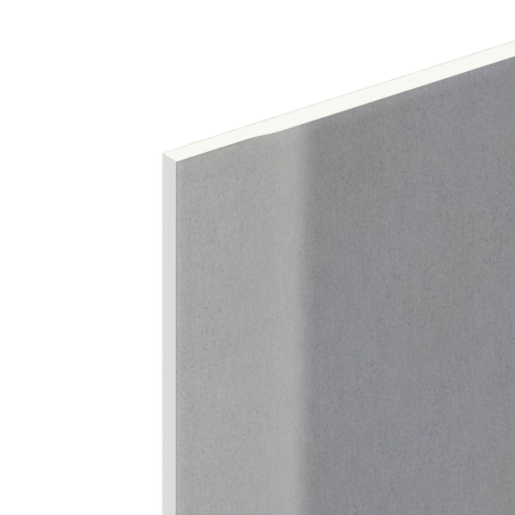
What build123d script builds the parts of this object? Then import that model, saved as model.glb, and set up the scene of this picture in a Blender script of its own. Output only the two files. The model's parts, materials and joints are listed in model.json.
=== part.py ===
from build123d import *
import os

# Tapered-edge plasterboard sheet: a gypsum core between two papers. The face paper is folded
# round both long edges and on to the back, where the edges of the back paper are stuck over it.
# The sheet lies flat, face up. X runs across it, Y along it and Z up, with the origin on the
# floor under its centre. Sizes are in millimetres.

sheet_width = 1200.0
sheet_length = 2400.0
sheet_thickness = 12.5
recess_depth = 2.0            # how much thinner the sheet is at its long edges
recess_width = 38.0           # level strip beside each long edge, where joint tape goes
ramp_width = 18.0             # soft S from that strip up to the full thickness
face_paper_thickness = 0.35
back_paper_thickness = 0.35
fold_radius = 0.8             # outside of the face paper where it turns a corner
flap_width = 28.0             # face paper turned under, from the long edge to its cut edge
back_paper_inset = 12.0       # from the long edge in to the edge of the back paper

half_width = sheet_width / 2
half_length = sheet_length / 2
rim_top = sheet_thickness - recess_depth
recess_end = half_width - recess_width
ramp_end = recess_end - ramp_width
flap_end = half_width - flap_width

# Outside of the wrapped sheet, seen along its length, without the back paper. Each ramp is two
# equal arcs that meet at half its height, level where they join the strip and the face.
with BuildSketch(Plane.XZ) as wrapped_section:
    with BuildLine():
        Polyline(
            (0, back_paper_thickness),
            (half_width, back_paper_thickness),
            (half_width, rim_top),
            (recess_end, rim_top),
        )
        ramp_middle = ((recess_end + ramp_end) / 2, (rim_top + sheet_thickness) / 2)
        lower_arc = TangentArc((recess_end, rim_top), ramp_middle, tangent=(-1, 0))
        TangentArc(ramp_middle, (ramp_end, sheet_thickness), tangent=lower_arc % 1)
        Line((ramp_end, sheet_thickness), (0, sheet_thickness))
        mirror(about=Plane.YZ)
    make_face()
    columns = wrapped_section.vertices().group_by(Axis.X)
    fillet(columns[0] + columns[-1], radius=fold_radius)

os.makedirs("parts", exist_ok=True)

# Face paper: one skin over the face and both long edges, with a flap along each side of the back.
with BuildPart() as face_paper:
    with BuildSketch(Plane.XZ):
        add(wrapped_section.sketch_local)
        offset(wrapped_section.sketch_local, amount=-face_paper_thickness, mode=Mode.SUBTRACT)
        with Locations((0, back_paper_thickness)):
            Rectangle(2 * flap_end, 2 * face_paper_thickness, mode=Mode.SUBTRACT)
    extrude(amount=half_length, both=True)
face_paper.part.label = "face_paper"
export_step(face_paper.part, "parts/face_paper.step")

# Gypsum core: fills the skin, and comes down between the flaps to the back paper.
with BuildPart() as gypsum_core:
    with BuildSketch(Plane.XZ):
        offset(wrapped_section.sketch_local, amount=-face_paper_thickness)
        with Locations((0, back_paper_thickness)):
            Rectangle(2 * flap_end, 2 * face_paper_thickness, align=(Align.CENTER, Align.MIN))
    extrude(amount=half_length, both=True)
gypsum_core.part.label = "gypsum_core"
export_step(gypsum_core.part, "parts/gypsum_core.step")

# Back paper: a plain liner, narrower than the sheet, whose long edges lie over the flaps.
with BuildPart() as back_paper:
    with BuildSketch(Plane.XY):
        Rectangle(sheet_width - 2 * back_paper_inset, sheet_length)
    extrude(amount=back_paper_thickness)
back_paper.part.label = "back_paper"
export_step(back_paper.part, "parts/back_paper.step")
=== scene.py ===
import bpy
import json
import math
import numpy as np
from mathutils import Matrix, Vector


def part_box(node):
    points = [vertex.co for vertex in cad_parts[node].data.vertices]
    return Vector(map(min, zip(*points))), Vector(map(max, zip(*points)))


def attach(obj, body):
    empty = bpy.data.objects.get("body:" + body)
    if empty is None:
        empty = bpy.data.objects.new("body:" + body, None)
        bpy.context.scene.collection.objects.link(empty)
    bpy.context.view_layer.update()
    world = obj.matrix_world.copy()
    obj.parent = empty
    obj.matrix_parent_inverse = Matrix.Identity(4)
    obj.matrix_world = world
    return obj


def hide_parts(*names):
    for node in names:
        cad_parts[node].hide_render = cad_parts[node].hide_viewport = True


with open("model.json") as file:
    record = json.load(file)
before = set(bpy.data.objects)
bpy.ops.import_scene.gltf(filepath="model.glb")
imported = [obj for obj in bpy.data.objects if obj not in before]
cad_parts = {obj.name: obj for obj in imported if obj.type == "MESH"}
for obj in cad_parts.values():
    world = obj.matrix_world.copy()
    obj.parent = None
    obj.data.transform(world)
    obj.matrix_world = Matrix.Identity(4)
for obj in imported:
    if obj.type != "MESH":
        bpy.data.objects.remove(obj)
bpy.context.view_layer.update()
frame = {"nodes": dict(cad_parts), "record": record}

mm = 0.001
print("frame loaded:", sorted(frame["nodes"]))

# How the sheet is thinned and folded, in metres. What the frame knows is read from it.
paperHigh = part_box("face_paper")[1]
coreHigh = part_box("gypsum_core")[1]
linerLow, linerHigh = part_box("back_paper")
mountPlace = {mount["name"]: mount["pos_m"] for mount in frame["record"]["mounts"]}
sheet = {
    "halfWidth": paperHigh.x,
    "halfLength": paperHigh.y,
    "top": paperHigh.z,
    "bottom": linerLow.z,
    "under": linerHigh.z,                      # lower side of the flaps, on the back paper
    "linerInset": paperHigh.x - linerHigh.x,   # from a long edge to the back paper's edge
    "flapStep": 3 * mm,                        # width in which a flap comes down beside that
    "stripTop": mountPlace["tape_recess_left"][2],
    "strip": 38 * mm,                          # width of the level strip beside a long edge
    "ramp": 18 * mm,                           # width of the soft S up to full thickness
    "paper": paperHigh.z - coreHigh.z,         # thickness of the face paper
    "fold": 0.8 * mm,                          # outside radius of its folds
    "flap": 28 * mm,                           # width of it turned under
}
pathSteps = {       # steps along each part of the section
    "flat": 6,      # the flap, the strip outside it and the long edge
    "drop": 4,      # each half of the flap's step down
    "bend": 4,      # each half of a fold
    "strip": 12,
    "ramp": 12,     # each half of the S
    "face": 48,
}


# Surfaces from numpy

def surfaceObject(name, points, faces):
    # One mesh object at the origin, with its place in its vertices. Soft bends are shaded
    # smooth and corners past 40 degrees stay sharp.
    mesh = bpy.data.meshes.new(name)
    mesh.from_pydata(points, [], faces)
    mesh.polygons.foreach_set("use_smooth", np.ones(len(mesh.polygons), dtype=bool))
    mesh.set_sharp_from_angle(angle=math.radians(40))
    mesh.update()
    made = bpy.data.objects.new(name, mesh)
    bpy.context.scene.collection.objects.link(made)
    return made


def gridFaces(number):
    # Quads of a grid from its points' numbers. They face along columns cross rows.
    return np.stack(
        [number[:-1, :-1], number[:-1, 1:], number[1:, 1:], number[1:, :-1]], axis=-1
    ).reshape(-1, 4)


def blockObject(name, points):
    # The closed skin of a block of points: one grid of quads for each of its six sides, facing
    # out where the block's three directions are right-handed. Points inside it are left out.
    number = np.arange(points.size // 3).reshape(points.shape[:3])
    faces = np.concatenate([
        gridFaces(number[0]),
        gridFaces(number[-1, ::-1]),
        gridFaces(number[::-1, 0]),
        gridFaces(number[:, -1]),
        gridFaces(number[:, :, 0]),
        gridFaces(number[::-1, :, -1]),
    ])
    used, faces = np.unique(faces, return_inverse=True)
    return surfaceObject(name, points.reshape(-1, 3)[used], faces.reshape(-1, 4))


def softWaves(u, v, waves, seed):
    # Random relief from 0 to 1: a sum of plane waves whose lengths are spread evenly in their
    # logarithm from shortest to longest, each with its own direction and phase. It is 0.5 where
    # they cancel out, and is cut off where their sum passes so many times its spread.
    rng = np.random.default_rng(seed)
    count, shortest, longest = waves["count"], waves["shortest"], waves["longest"]
    lengths = shortest * (longest / shortest) ** rng.random(count)
    turns = rng.random(count) * 2 * math.pi
    phases = rng.random(count) * 2 * math.pi
    relief = 0
    for length, turn, phase in zip(lengths, turns, phases):
        along = u * math.cos(turn) + v * math.sin(turn)
        relief = relief + np.sin(along * 2 * math.pi / length + phase)
    relief = relief * math.sqrt(2 / count) / waves["cutOff"]
    return np.clip((1 + relief) / 2, 0, 1)


def halfOfS(rise, width):
    # An S of two equal arcs over a width: each arc's length, and the angle that it turns by.
    bend = 2 * math.atan(rise / width)
    return bend * width / 2 / math.sin(bend), bend


def wrapPath(shape, steps):
    # Walks the outside of the folded paper from one flap's cut edge to the other's, seen along
    # the sheet. Each run has a length, the angle it turns by and its steps, so it is a straight
    # line or an arc, and a step advances by its chord at the heading of its middle. The second
    # side has the first one's runs in reverse. Gives the points, the outward directions, the
    # distance walked, and how much of it leads to the first front arris.
    dropLength, dropBend = halfOfS(shape["under"] - shape["bottom"], shape["flapStep"])
    rampLength, rampBend = halfOfS(shape["top"] - shape["stripTop"], shape["ramp"])
    fold = shape["fold"]
    halfFold = (math.pi / 4 * fold, -math.pi / 4, steps["bend"])
    toArris = [
        (shape["flap"] - shape["linerInset"], 0, steps["flat"]),
        (dropLength, dropBend, steps["drop"]),
        (dropLength, -dropBend, steps["drop"]),
        (shape["linerInset"] - shape["flapStep"] - fold, 0, steps["flat"]),
        halfFold,
        halfFold,
        (shape["stripTop"] - shape["bottom"] - 2 * fold, 0, steps["flat"]),
        halfFold,
    ]
    side = toArris + [
        halfFold,
        (shape["strip"] - fold, 0, steps["strip"]),
        (rampLength, rampBend, steps["ramp"]),
        (rampLength, -rampBend, steps["ramp"]),
    ]
    face = 2 * (shape["halfWidth"] - shape["strip"] - shape["ramp"])
    runs = side + [(face, 0, steps["face"])] + side[::-1]
    length = np.concatenate([np.full(n, run / n) for run, turn, n in runs])
    turning = np.concatenate([np.full(n, turn / n) for run, turn, n in runs])
    heading = math.pi + np.concatenate([[0], np.cumsum(turning)])
    middle = (heading[1:] + heading[:-1]) / 2
    chord = length * np.sinc(turning / 2 / math.pi)
    advance = np.stack([chord * np.cos(middle), chord * np.sin(middle)], axis=1)
    start = [shape["flap"] - shape["halfWidth"], shape["under"]]
    points = np.vstack([[0, 0], np.cumsum(advance, axis=0)]) + start
    outward = np.stack([-np.sin(heading), np.cos(heading)], axis=1)
    walked = np.concatenate([[0], np.cumsum(length)])
    return points, outward, walked, sum(run for run, turn, n in toArris)


# Face paper: one skin over the face and round both long edges, with a flap along each side of
# the back

facePaper = {
    "rows": 97,              # along the sheet
    "trim": 0.08 * mm,       # how unevenly the paper is cut at the two ends
    "trimWaves": {"count": 24, "shortest": 6 * mm, "longest": 200 * mm, "cutOff": 2.0},
    "trimSeed": 11,
    "trimAt": (-3.0, 3.0),   # where each end's cut lies among those waves
}


def foldedFacePaper(shape, cut):
    # The walked path carried along the sheet, as an outer and an inner sheet of points that
    # lie one paper thickness apart along the outward direction. The two cut ends waver by the
    # trim.
    outer, outward, walked, toArris = wrapPath(shape, pathSteps)
    section = np.stack([outer, outer - outward * shape["paper"]])
    trimAt = np.array(cut["trimAt"])[:, None]
    waver = softWaves(walked[None], trimAt, cut["trimWaves"], cut["trimSeed"])
    reach = shape["halfLength"] - cut["trim"] * waver
    share = np.linspace(0, 1, cut["rows"])[:, None]
    points = np.empty((2, cut["rows"], len(walked), 3))
    points[..., 0] = section[:, None, :, 0]
    points[..., 1] = -reach[0] * (1 - share) + reach[1] * share
    points[..., 2] = section[:, None, :, 1]
    made = blockObject("folded_face_paper", points)
    # Distance round the paper from the nearer front arris: more on the face, less on the edge.
    fromArris = np.minimum(walked, walked[-1] - walked) - toArris
    layer = made.data.attributes.new("fromArris", "FLOAT", "POINT")
    layer.data.foreach_set("value", np.broadcast_to(fromArris, points.shape[:3]).ravel())
    return made


paperPiece = foldedFacePaper(sheet, facePaper)
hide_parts("face_paper")
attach(paperPiece, "root")
print("face paper folded:", len(paperPiece.data.polygons), "quads")


# Gypsum core: fills the skin, sawn at both ends

gypsumCore = {
    "columnStep": 1.25 * mm,   # across the sawn ends
    "edgeColumns": 22,         # more of them over each flap
    "edgeMargin": 2 * mm,      # from the long edge to the first of those
    "rows": 13,                # through the thickness
    "clearance": 0.02 * mm,    # under the paper, so that the hidden faces never show through
    "flapRise": 0.01 * mm,     # half the width in which the underside steps up over a flap
    "sawDepth": 0.12 * mm,     # how deep the saw's unevenness goes
    "sawWaves": {"count": 30, "shortest": 2.5 * mm, "longest": 25 * mm, "cutOff": 2.5},
    "sawRun": 3,               # how many times longer these are along the saw's path
    "sawSeeds": (5, 6),        # of the near end and the far one
}


def sawnRelief(x, z, cut, seed):
    # Depth below the end's plane: soft random waves drawn out along the saw's path.
    return cut["sawDepth"] * softWaves(x / cut["sawRun"], z, cut["sawWaves"], seed)


def sawnCore(shape, cut):
    # A block of points squeezed to the section: for each place across the sheet the underside
    # and the top are read off the paper's inner path, up to its long edge and from there on. The
    # end faces are pushed in by the relief.
    outer, outward = wrapPath(shape, pathSteps)[:2]
    inner = outer - outward * (shape["paper"] + cut["clearance"])
    side = inner[: len(inner) // 2 + 1]
    wall = np.flatnonzero(side[:, 0] <= side[:, 0].min() + 1e-9)
    flapEnd = shape["halfWidth"] - shape["flap"]
    edge = shape["halfWidth"] - cut["edgeMargin"]
    rise = cut["flapRise"]
    x = np.unique(np.round(np.concatenate([
        inner[:, 0],
        [-flapEnd - rise, flapEnd + rise],
        np.linspace(-flapEnd, flapEnd, int(2 * flapEnd / cut["columnStep"])),
        np.linspace(-edge, -flapEnd, cut["edgeColumns"]),
        np.linspace(edge, flapEnd, cut["edgeColumns"]),
    ]), 7))
    high = np.interp(-np.abs(x), side[wall[-1]:, 0], side[wall[-1]:, 1])
    low = np.interp(-np.abs(x), side[wall[0]::-1, 0], side[wall[0]::-1, 1])
    low = np.where(np.abs(x) <= flapEnd + rise / 2, shape["under"] + cut["clearance"], low)
    across, through = np.meshgrid(x, np.linspace(0, 1, cut["rows"]), indexing="ij")
    z = low[:, None] + (high - low)[:, None] * through
    stations = np.array([-1, -0.5, 0, 0.5, 1]) * shape["halfLength"]
    points = np.empty((len(stations), len(x), cut["rows"], 3))
    points[..., 0] = across
    points[..., 1] = stations[:, None, None]
    points[..., 2] = z
    nearSeed, farSeed = cut["sawSeeds"]
    points[0, ..., 1] += sawnRelief(across, z, cut, nearSeed)
    points[-1, ..., 1] -= sawnRelief(across, z, cut, farSeed)
    return blockObject("sawn_gypsum_core", points[::-1])   # reversed, to be right-handed


corePiece = sawnCore(sheet, gypsumCore)
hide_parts("gypsum_core")
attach(corePiece, "root")
print("core sawn:", len(corePiece.data.polygons), "quads")


# Shader nodes

def feed(tree, socket, value):
    # A socket takes another node's output, or a plain value.
    if isinstance(value, bpy.types.NodeSocket):
        tree.links.new(value, socket)
    else:
        socket.default_value = value


def addNode(tree, kind, inputs, **settings):
    made = tree.nodes.new("ShaderNode" + kind)
    for label, value in settings.items():
        setattr(made, label, value)
    for label, value in inputs.items():
        feed(tree, made.inputs[label], value)
    return made


def calc(tree, operation, *values):
    # One Math node, such as calc(tree, "ADD", a, b).
    made = addNode(tree, "Math", dict(enumerate(values)), operation=operation)
    return made.outputs["Value"]


def total(tree, *values):
    added = values[0]
    for value in values[1:]:
        added = calc(tree, "ADD", added, value)
    return added


def combine(tree, operation, first, second):
    # One Vector Math node for two vectors.
    made = addNode(tree, "VectorMath", {0: first, 1: second}, operation=operation)
    return made.outputs["Vector"]


def scaled(tree, vector, factor):
    made = addNode(tree, "VectorMath", {"Vector": vector, "Scale": factor}, operation="SCALE")
    return made.outputs["Vector"]


def mixed(tree, factor, first, second, kind="FLOAT"):
    made = addNode(tree, "Mix", {"Factor": factor, "A": first, "B": second}, data_type=kind)
    return made.outputs["Result"]


def softStep(tree, value, start, end, low=0.0, high=1.0):
    # Runs smoothly from low to high while the value goes from start to end.
    step = addNode(tree, "MapRange", {
        "Value": value, "From Min": start, "From Max": end, "To Min": low, "To Max": high,
    }, interpolation_type="SMOOTHSTEP")
    return step.outputs["Result"]


def noise(tree, place, scale, detail=0.0, roughness=0.5):
    # Noise of about scale lumps to the metre. Its middle is 0.5, and its spread about 0.1.
    return addNode(tree, "TexNoise", {
        "Vector": place, "Scale": scale, "Detail": detail, "Roughness": roughness,
    }).outputs


def centred(tree, colour, strength):
    # Noise colour, whose middle is 0.5, turned into an offset about zero.
    return scaled(tree, combine(tree, "SUBTRACT", colour, (0.5, 0.5, 0.5)), strength)


def nodeGroup(name, inputs, outputs):
    # Inputs are rows of name, kind and value, and outputs are rows of name and kind.
    group = bpy.data.node_groups.new(name, "ShaderNodeTree")
    for label, kind, value in inputs:
        socket = group.interface.new_socket(label, in_out="INPUT", socket_type="NodeSocket" + kind)
        if value is not None:
            socket.default_value = value
    for label, kind in outputs:
        group.interface.new_socket(label, in_out="OUTPUT", socket_type="NodeSocket" + kind)
    given = group.nodes.new("NodeGroupInput").outputs
    return group, given, group.nodes.new("NodeGroupOutput").inputs


def useGroup(tree, group, inputs):
    return addNode(tree, "Group", inputs, node_tree=group).outputs


# Effects that the materials share

mottleForm = {
    "lumps": {     # size over the grain's, and detail
        "Grain": (1.0, 0.0),
        "Pulp": (2.6, 1.0),
        "Cloud": (16.0, 2.0),
    },
    "roughness": 0.55,
}
speckForm = {
    "whole": 0.5,        # a speck is whole within this share of its size
    "gone": 1.15,        # and gone past this one
    "faintest": 0.4,     # the weakest speck's strength, where the strongest has 1
    "ragged": 1.5,       # lumps of its outline for each size
}
screenGamma = 2.2                    # from the screen's levels to light
patternTurn = (0.61, 0.37, 0.29)     # radians


def fibreMottle(form):
    # Mottling of pressed fibre: fine grain, pulp lumps and slow clouds, each centred on zero and
    # as strong as its input says. The height follows the grain and the pulp.
    tree, given, result = nodeGroup("fibre_mottle", [
        ("Vector", "Vector", None),
        ("Grain", "Float", 1.0),
        ("Pulp", "Float", 1.0),
        ("Cloud", "Float", 1.0),
        ("Grain Size", "Float", 0.5 * mm),
    ], [("Tone", "Float"), ("Height", "Float")])
    lumps = {}
    for label, (times, detail) in form["lumps"].items():
        size = calc(tree, "MULTIPLY", given["Grain Size"], times)
        scale = calc(tree, "DIVIDE", 1.0, size)
        pattern = noise(tree, given["Vector"], scale, detail, form["roughness"])
        lumps[label] = calc(tree, "SUBTRACT", pattern["Fac"], 0.5)
    tones = [calc(tree, "MULTIPLY", lump, given[label]) for label, lump in lumps.items()]
    feed(tree, result["Tone"], total(tree, *tones))
    feed(tree, result["Height"], calc(tree, "ADD", lumps["Grain"], lumps["Pulp"]))
    return tree


def specks(form):
    # Flecks or pores: the mask rises in small round cells scattered at random, with ragged
    # outlines, and each cell has a strength of its own.
    tree, given, result = nodeGroup("specks", [
        ("Vector", "Vector", None),
        ("Spacing", "Float", 3 * mm),
        ("Size", "Float", 0.4 * mm),
    ], [("Mask", "Float")])
    ragScale = calc(tree, "DIVIDE", form["ragged"], given["Size"])
    rag = noise(tree, given["Vector"], ragScale, 1.0)["Color"]
    place = combine(tree, "ADD", given["Vector"], centred(tree, rag, given["Size"]))
    cells = addNode(tree, "TexVoronoi", {
        "Vector": place, "Scale": calc(tree, "DIVIDE", 1.0, given["Spacing"]),
    }, feature="F1").outputs
    away = calc(tree, "MULTIPLY", cells["Distance"], given["Spacing"])
    share = calc(tree, "DIVIDE", away, given["Size"])
    drawn = addNode(tree, "SeparateColor", {"Color": cells["Color"]}).outputs["Red"]
    strength = calc(tree, "MULTIPLY_ADD", drawn, 1.0 - form["faintest"], form["faintest"])
    shown = softStep(tree, share, form["gone"], form["whole"])
    feed(tree, result["Mask"], calc(tree, "MULTIPLY", shown, strength))
    return tree


def drift():
    # A slow wandering as three offsets about zero, each on its own, for tone or for hue.
    tree, given, result = nodeGroup("drift", [
        ("Vector", "Vector", None),
        ("Size", "Float", 20 * mm),
        ("Detail", "Float", 1.0),
        ("Roughness", "Float", 0.5),
        ("Strength", "Float", 0.02),
    ], [("Drift", "Vector")])
    scale = calc(tree, "DIVIDE", 1.0, given["Size"])
    lumps = noise(tree, given["Vector"], scale, given["Detail"], given["Roughness"])
    feed(tree, result["Drift"], centred(tree, lumps["Color"], given["Strength"]))
    return tree


def screenColour(gamma):
    # Colour from a grey level on the screen's scale of 0 to 1, with offsets of red and blue.
    tree, given, result = nodeGroup("screen_colour", [
        ("Level", "Float", 0.5),
        ("Offset", "Vector", None),
    ], [("Color", "Color")])
    parts = addNode(tree, "SeparateXYZ", {"Vector": given["Offset"]}).outputs
    joined = addNode(tree, "CombineColor", {
        "Red": calc(tree, "ADD", given["Level"], parts["X"]),
        "Green": given["Level"],
        "Blue": calc(tree, "ADD", given["Level"], parts["Z"]),
    }).outputs["Color"]
    shown = addNode(tree, "Gamma", {"Color": joined, "Gamma": gamma}).outputs["Color"]
    feed(tree, result["Color"], shown)
    return tree


fibreMottleGroup = fibreMottle(mottleForm)
specksGroup = specks(speckForm)
driftGroup = drift()
screenColourGroup = screenColour(screenGamma)


def newMaterial(name):
    material = bpy.data.materials.new(name)
    material.use_nodes = True
    material.node_tree.nodes.clear()
    return material, material.node_tree


def objectPlace(tree):
    return tree.nodes.new("ShaderNodeTexCoord").outputs["Object"]


def turned(tree, place, lengthwise=1.0, shift=0.0):
    # Scales a pattern's places along the sheet and then turns it, so that no face of the sheet
    # lies along a layer of the noise. The shift moves another part of it in.
    drawnOut = combine(tree, "MULTIPLY", place, (1.0, lengthwise, 1.0))
    tilt = addNode(tree, "Mapping", {
        "Vector": drawnOut, "Rotation": patternTurn, "Location": (shift, 0.0, 0.0),
    })
    return tilt.outputs["Vector"]


def inFrom(tree, place, axis, half):
    # Distance inward from the nearer end of one axis.
    part = addNode(tree, "SeparateXYZ", {"Vector": place}).outputs[axis]
    return calc(tree, "SUBTRACT", half, calc(tree, "ABSOLUTE", part))


def streaks(tree, place, width, slimness, strength):
    # Noise drawn out along the sheet, as an offset about zero.
    lines = noise(tree, turned(tree, place, slimness), 1 / width, 1.0)["Fac"]
    return calc(tree, "MULTIPLY", calc(tree, "SUBTRACT", lines, 0.5), strength)


def mottled(tree, place, look):
    return useGroup(tree, fibreMottleGroup, {
        "Vector": place,
        "Grain": look["grain"],
        "Pulp": look["pulp"],
        "Cloud": look["cloud"],
        "Grain Size": look["grainSize"],
    })


def specked(tree, place, look):
    return useGroup(tree, specksGroup, {
        "Vector": place, "Spacing": look["speckSpacing"], "Size": look["speckSize"],
    })["Mask"]


def hued(tree, place, look):
    return useGroup(tree, driftGroup, {
        "Vector": place,
        "Size": look["hueSize"],
        "Detail": look["hueDetail"],
        "Roughness": look["hueRoughness"],
        "Strength": look["hue"],
    })["Drift"]


def finishMaterial(material, tree, look, level, offset, height, carrier):
    # Colour, relief and shader from a grey level, its offsets of red and blue, and a height.
    shown = useGroup(tree, screenColourGroup, {"Level": level, "Offset": offset})
    bump = addNode(tree, "Bump", {"Height": height, "Distance": look["relief"]})
    shader = addNode(tree, "BsdfPrincipled", {
        "Base Color": shown["Color"],
        "Roughness": look["roughness"],
        "Specular IOR Level": look["specular"],
        "Normal": bump.outputs["Normal"],
    })
    addNode(tree, "OutputMaterial", {"Surface": shader.outputs["BSDF"]})
    carrier.data.materials.clear()
    carrier.data.materials.append(material)


# Grey board paper. Levels are on the screen's scale of 0 to 1, and tints are added to them as
# red, green and blue. A zone is where a change starts and ends, in metres from the front arris,
# from a cut end or from a long edge.

facePaperLook = {
    "wall": 0.868,             # the long edge, painted paler as a highlight from the side, and the flaps with it
    "strip": 0.648,            # level strip beside it
    "brimHighlight": 0.6705,            # painted highlight along the top of the ramp
    "field": 0.547,            # the rest of the face, darker with painted shade
    "rampZone": (34 * mm, 48 * mm),
    "brimZone": (48 * mm, 57 * mm),
    "fieldZone": (60.5 * mm, 76 * mm),
    "arrisStep": (-0.23 * mm, 0.07 * mm),    # from the wall's tone to the face's
    "arrisShadeLine": -0.09,        # thin darker line along the arris, painted shade of the fold
    "arrisZone": (1.1 * mm, 0.2 * mm),
    "arrisHighlight": 0.083,        # painted highlight beside the arris, dying away
    "arrisFade": 2.15 * mm,
    "cutShadeLine": -0.035,         # painted shade line along the cut ends, but not on the ramp and the field
    "cutShadeLineZone": (1.17 * mm, 0.63 * mm),
    "cutLift": 0.016,          # paler near the cut ends
    "cutLiftMore": 0.6,        # this much more of that past the ramp's foot, and again on the field
    "cutLiftZone": (1.5 * mm, 8.5 * mm),
    "cutRim": 0.86,            # the paper's own thickness, dusty from the saw
    "cutRimZone": (0.14 * mm, 0.09 * mm),
    "cutRimTint": (-0.010, 0.0, -0.016),
    "flapRim": (0.90, 0.96),   # the same on the flaps: beside the edge, and over the back paper
    "flapRimZone": (11.5 * mm, 12.5 * mm),
    "flapZone": (-9 * mm, -11 * mm),
    "lengthwise": 0.80,        # lower draws the fibres' patterns out along the sheet
    "grain": 0.068,
    "grainSize": 0.5 * mm,
    "pulp": 0.089,
    "cloud": 0.032,
    "threads": (0.9 * mm, 0.06, 0.038),      # width, width over length, and strength
    "bands": (7 * mm, 0.015, 0.018),
    "slow": 0.030,
    "slowSize": 90 * mm,
    "slowShift": 3.9,          # which part of the slow pattern falls here, in metres
    "speck": (-0.051, -0.04845),             # dark flecks, before the ramp and past its foot
    "speckSpacing": 2.0 * mm,
    "speckSize": 0.54 * mm,
    "patchSize": 22 * mm,      # the flecks lie thicker in patches
    "patchZone": (0.38, 0.62),
    "patchStrength": (0.3, 1.6),             # of the flecks between patches and in them
    "rampCalm": 0.72,          # how uneven the ramp is beside the rest
    "wallCalm": 0.12,          # and the long edge
    "hue": 0.025,
    "hueSize": 14 * mm,
    "hueDetail": 3.0,
    "hueRoughness": 0.6,
    "slowHue": (0.9, 2.05),    # blue of a second slow pattern, beside the field and on it
    "slowHueRed": -0.2,        # its red for each blue
    "slowHueShift": 36.0,      # which part of that pattern falls here, in metres
    "fieldTint": (-0.0023, 0.0, 0.0115),
    "wallHue": 0.3,            # share of those hues on the long edge
    "dustTint": (0.0, 0.0, -0.012),          # beside the cut ends
    "dustZone": (2.5 * mm, 0.5 * mm),
    "relief": 0.02 * mm,
    "roughness": 0.9,
    "specular": 0.2,
}


def faceTone(tree, look, away, fromCut, onRamp, onField):
    # The steady tone of the face: the strip, a painted highlight on the brim, painted shade over
    # the field, a painted highlight and a painted shade line beside the arris, and a painted shade
    # line and the lift along the cut ends.
    # Painted highlight beside the arris, and a painted shade line along it.
    fading = calc(tree, "EXPONENT", calc(tree, "DIVIDE", away, -look["arrisFade"]))
    arrisHighlight = calc(tree, "MULTIPLY", calc(tree, "MINIMUM", fading, 1.0), look["arrisHighlight"])
    arrisShadeLine = softStep(tree, away, *look["arrisZone"], 0.0, look["arrisShadeLine"])
    # Painted highlight along the top of the ramp, and painted shade over the field past it.
    brimHighlight = softStep(tree, away, *look["brimZone"], 0.0, look["brimHighlight"] - look["strip"])
    field = calc(tree, "MULTIPLY", onField, look["field"] - look["brimHighlight"])
    # Painted shade line along the cut ends, left off the ramp and the field.
    cutShadeLine = softStep(tree, fromCut, *look["cutShadeLineZone"], 0.0, look["cutShadeLine"])
    cutShadeLine = calc(tree, "MULTIPLY", cutShadeLine, calc(tree, "SUBTRACT", 1.0, onRamp))
    pastRamp = calc(tree, "ADD", onRamp, onField)
    more = calc(tree, "MULTIPLY_ADD", pastRamp, look["cutLiftMore"], 1.0)
    cutLift = softStep(tree, fromCut, *look["cutLiftZone"], look["cutLift"], 0.0)
    cutLift = calc(tree, "MULTIPLY", cutLift, more)
    return total(tree, look["strip"], arrisHighlight, arrisShadeLine, brimHighlight, field, cutShadeLine, cutLift)


def slowPattern(tree, place, look, shift):
    broad = useGroup(tree, driftGroup, {
        "Vector": turned(tree, place, 1.0, shift),
        "Size": look["slowSize"],
        "Strength": look["slow"],
    })
    return addNode(tree, "SeparateXYZ", {"Vector": broad["Drift"]}).outputs


def faceFlecks(tree, look, fibres, onRamp):
    patches = noise(tree, fibres, 1 / look["patchSize"], 1.0)["Fac"]
    patches = softStep(tree, patches, *look["patchZone"], *look["patchStrength"])
    strength = softStep(tree, onRamp, 0.0, 1.0, *look["speck"])
    mask = specked(tree, fibres, look)
    return calc(tree, "MULTIPLY", mask, calc(tree, "MULTIPLY", strength, patches))


def faceHue(tree, look, place, fibres, fromCut, onFace, onField, onRim):
    # Offsets of red and blue: a fine drift, a slow one and the field's tint, all weaker on the
    # long edge, and the warmer dust beside and on the cut ends.
    slow = slowPattern(tree, place, look, look["slowHueShift"])
    blue = calc(tree, "MULTIPLY", slow["Z"], mixed(tree, onField, *look["slowHue"]))
    broad = addNode(tree, "CombineXYZ", {
        "X": calc(tree, "MULTIPLY", blue, look["slowHueRed"]), "Z": blue,
    }).outputs["Vector"]
    tint = scaled(tree, look["fieldTint"], onField)
    hue = combine(tree, "ADD", combine(tree, "ADD", hued(tree, fibres, look), broad), tint)
    hue = scaled(tree, hue, mixed(tree, onFace, look["wallHue"], 1.0))
    dust = scaled(tree, look["dustTint"], softStep(tree, fromCut, *look["dustZone"]))
    rim = scaled(tree, look["cutRimTint"], onRim)
    return combine(tree, "ADD", hue, combine(tree, "ADD", dust, rim))


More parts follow.
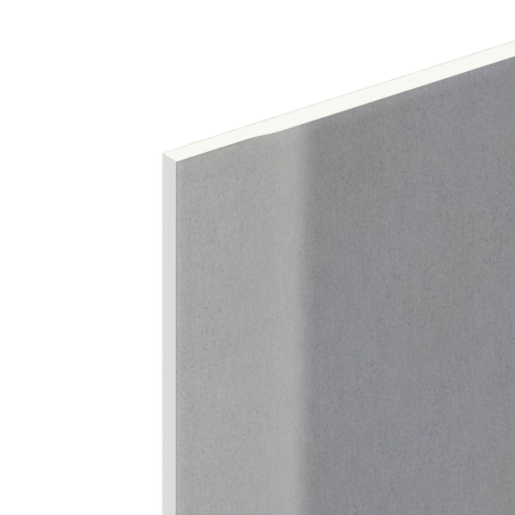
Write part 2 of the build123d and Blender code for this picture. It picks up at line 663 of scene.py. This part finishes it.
def boardPaper(look, shape, carrier):
    material, tree = newMaterial("board_paper")
    place = objectPlace(tree)
    away = addNode(tree, "Attribute", {}, attribute_name="fromArris").outputs["Fac"]
    fromCut = inFrom(tree, place, "Y", shape["halfLength"])
    fromSide = inFrom(tree, place, "X", shape["halfWidth"])
    onFace = softStep(tree, away, *look["arrisStep"])
    onRamp = softStep(tree, away, *look["rampZone"])
    onField = softStep(tree, away, *look["fieldZone"])
    onRim = softStep(tree, fromCut, *look["cutRimZone"])

    fibres = turned(tree, place, look["lengthwise"])
    mottle = mottled(tree, fibres, look)
    slow = slowPattern(tree, place, look, look["slowShift"])
    bands = streaks(tree, place, *look["bands"])
    threads = streaks(tree, place, *look["threads"])
    flecks = faceFlecks(tree, look, fibres, onRamp)
    uneven = total(tree, mottle["Tone"], bands, flecks, slow["X"])

    steady = faceTone(tree, look, away, fromCut, onRamp, onField)
    ramp = calc(tree, "MULTIPLY", onRamp, calc(tree, "SUBTRACT", 1.0, onField))
    calm = calc(tree, "MULTIPLY_ADD", ramp, look["rampCalm"] - 1.0, 1.0)
    face = calc(tree, "MULTIPLY_ADD", uneven, calm, calc(tree, "ADD", steady, threads))
    # The long edge and the flaps take the wall level, a painted highlight, calmer than the face.
    wall = calc(tree, "MULTIPLY_ADD", uneven, look["wallCalm"], look["wall"])
    flapRim = softStep(tree, fromSide, *look["flapRimZone"], *look["flapRim"])
    onFlap = softStep(tree, away, *look["flapZone"])
    rim = mixed(tree, onFlap, look["cutRim"], flapRim)
    level = mixed(tree, onRim, mixed(tree, onFace, wall, face), rim)

    hue = faceHue(tree, look, place, fibres, fromCut, onFace, onField, onRim)
    finishMaterial(material, tree, look, level, hue, mottle["Height"], carrier)


boardPaper(facePaperLook, sheet, paperPiece)


# Sawn gypsum at the two ends

gypsumLook = {
    "level": 0.976,
    "tint": (-0.004, 0.0, -0.026),   # against green
    "grain": 0.02,
    "grainSize": 0.35 * mm,
    "pulp": 0.012,
    "cloud": 0.008,
    "speck": -0.02,                  # painted shade in open pores
    "speckSpacing": 1.6 * mm,
    "speckSize": 0.22 * mm,
    "hue": 0.008,
    "hueSize": 12 * mm,
    "hueDetail": 2.0,
    "hueRoughness": 0.5,
    "relief": 0.03 * mm,
    "roughness": 0.95,
    "specular": 0.2,
}


def sawnGypsum(look, carrier):
    material, tree = newMaterial("sawn_gypsum")
    place = turned(tree, objectPlace(tree))
    mottle = mottled(tree, place, look)
    pores = specked(tree, place, look)
    tone = calc(tree, "ADD", mottle["Tone"], look["level"])
    # Open pores are darkened as painted shade.
    level = calc(tree, "MULTIPLY_ADD", pores, look["speck"], tone)
    hue = combine(tree, "ADD", hued(tree, place, look), look["tint"])
    height = calc(tree, "SUBTRACT", mottle["Height"], pores)
    finishMaterial(material, tree, look, level, hue, height, carrier)


sawnGypsum(gypsumLook, corePiece)


# Liner paper on the back

backPaperLook = {
    "level": 0.64,
    "tint": (0.02, 0.0, -0.04),           # against green
    "cutEdge": 0.92,                      # its own thickness at the cut ends, dusty from the saw
    "cutTint": (-0.012, 0.0, -0.032),
    "cutZone": (0.3 * mm, 0.1 * mm),
    "lengthwise": 0.8,
    "grain": 0.14,
    "grainSize": 0.7 * mm,
    "pulp": 0.10,
    "cloud": 0.06,
    "speck": -0.06,
    "speckSpacing": 3.0 * mm,
    "speckSize": 0.5 * mm,
    "hue": 0.03,
    "hueSize": 30 * mm,
    "hueDetail": 3.0,
    "hueRoughness": 0.5,
    "relief": 0.03 * mm,
    "roughness": 0.95,
    "specular": 0.2,
}


def linerPaper(look, shape, carrier):
    material, tree = newMaterial("liner_paper")
    place = objectPlace(tree)
    fibres = turned(tree, place, look["lengthwise"])
    mottle = mottled(tree, fibres, look)
    onCut = softStep(tree, inFrom(tree, place, "Y", shape["halfLength"]), *look["cutZone"])
    tone = mixed(tree, onCut, look["level"], look["cutEdge"])
    tone = calc(tree, "ADD", tone, mottle["Tone"])
    level = calc(tree, "MULTIPLY_ADD", specked(tree, fibres, look), look["speck"], tone)
    tint = mixed(tree, onCut, look["tint"], look["cutTint"], "VECTOR")
    hue = combine(tree, "ADD", hued(tree, fibres, look), tint)
    finishMaterial(material, tree, look, level, hue, mottle["Height"], carrier)


linerPaper(backPaperLook, sheet, bpy.data.objects["back_paper"])
print("materials made")


# Studio: a plain white floor, an even pale surround and one soft lamp

studio = {
    "floorHalf": 40.0,
    "floorDrop": 0.4 * mm,      # below the back paper
    "floorGlow": 0.085,         # lifts the open floor to white and leaves the contact shadow
    "surround": 0.86,           # strength that lights the sheet, while the camera sees 1
    "lampStrength": 0.65,
    "lampFrom": (-0.54, 0.64, 0.55),
    "lampSpread": math.radians(40),
}
white = (1.0, 1.0, 1.0, 1.0)


def shownRays(tree):
    # 1 for what the camera sees straight, mirrored or through glass, and 0 for other light.
    path = tree.nodes.new("ShaderNodeLightPath").outputs
    indirect = calc(tree, "MAXIMUM", path["Is Glossy Ray"], path["Is Transmission Ray"])
    return calc(tree, "MAXIMUM", path["Is Camera Ray"], indirect)


def studioFloor(setting):
    half = setting["floorHalf"]
    drop = -setting["floorDrop"]
    corners = np.array([
        [-half, -half, drop], [half, -half, drop], [half, half, drop], [-half, half, drop],
    ])
    floor = surfaceObject("floor", corners, [(0, 1, 2, 3)])
    # White from above, and clear from below and to the light that bounces off the sheet.
    material, tree = newMaterial("studio_floor")
    back = tree.nodes.new("ShaderNodeNewGeometry").outputs["Backfacing"]
    seen = calc(tree, "MULTIPLY", shownRays(tree), calc(tree, "SUBTRACT", 1.0, back))
    matt = addNode(tree, "BsdfDiffuse", {"Color": white}).outputs["BSDF"]
    glow = addNode(tree, "Emission", {"Color": white, "Strength": setting["floorGlow"]})
    lit = addNode(tree, "AddShader", {0: matt, 1: glow.outputs["Emission"]}).outputs["Shader"]
    clear = addNode(tree, "BsdfTransparent", {}).outputs["BSDF"]
    mix = addNode(tree, "MixShader", {0: seen, 1: clear, 2: lit})
    addNode(tree, "OutputMaterial", {"Surface": mix.outputs["Shader"]})
    floor.data.materials.append(material)


def studioSurround(setting):
    world = bpy.data.worlds.new("surround")
    bpy.context.scene.world = world
    world.use_nodes = True
    tree = world.node_tree
    tree.nodes.clear()
    strength = mixed(tree, shownRays(tree), setting["surround"], 1.0)
    glow = addNode(tree, "Background", {"Color": white, "Strength": strength})
    addNode(tree, "OutputWorld", {"Surface": glow.outputs["Background"]})


def studioLamp(setting):
    light = bpy.data.lights.new("soft_key", "SUN")
    light.energy = setting["lampStrength"]
    light.angle = setting["lampSpread"]
    lamp = bpy.data.objects.new("soft_key", light)
    lamp.rotation_euler = Vector(setting["lampFrom"]).to_track_quat("Z", "Y").to_euler()
    bpy.context.scene.collection.objects.link(lamp)


studioFloor(studio)
studioSurround(studio)
studioLamp(studio)
bpy.context.scene.view_settings.view_transform = "Standard"
print("studio lit")


# Camera: close on the corner of the left long edge and the far cut end, as in the photograph

view = {
    "corner": Vector((-sheet["halfWidth"], sheet["halfLength"], sheet["top"])),
    "azimuth": math.radians(228.585),
    "elevation": math.radians(46.036),
    "roll": math.radians(0.274),
    "aimRight": 0.034511,       # from the corner to the middle of the picture
    "aimUp": -0.041083,
    "distance": 4.3748,
    "lens": 700.0,
    "sensor": 36.0,
    "nearest": 0.01,
    "farthest": 1000.0,
}


def placeCamera(setting):
    # Stands back from its aim in the direction of azimuth and elevation, and rolls about it.
    az, el, roll = setting["azimuth"], setting["elevation"], setting["roll"]
    back = Vector((math.sin(az) * math.cos(el), -math.cos(az) * math.cos(el), math.sin(el)))
    up = (Vector((0, 1, 0)) - back * back.y).normalized()
    right = up.cross(back)
    across = right * math.cos(roll) + up * math.sin(roll)
    rise = up * math.cos(roll) - right * math.sin(roll)
    aim = setting["corner"] + across * setting["aimRight"] + rise * setting["aimUp"]
    lens = bpy.data.cameras.new("camera")
    lens.lens = setting["lens"]
    lens.sensor_width = setting["sensor"]
    lens.clip_start = setting["nearest"]
    lens.clip_end = setting["farthest"]
    camera = bpy.data.objects.new("camera", lens)
    turn = Matrix((across, rise, back)).transposed().to_4x4()
    camera.matrix_world = Matrix.Translation(aim + back * setting["distance"]) @ turn
    bpy.context.scene.collection.objects.link(camera)
    bpy.context.scene.camera = camera


placeCamera(view)
print("camera placed")
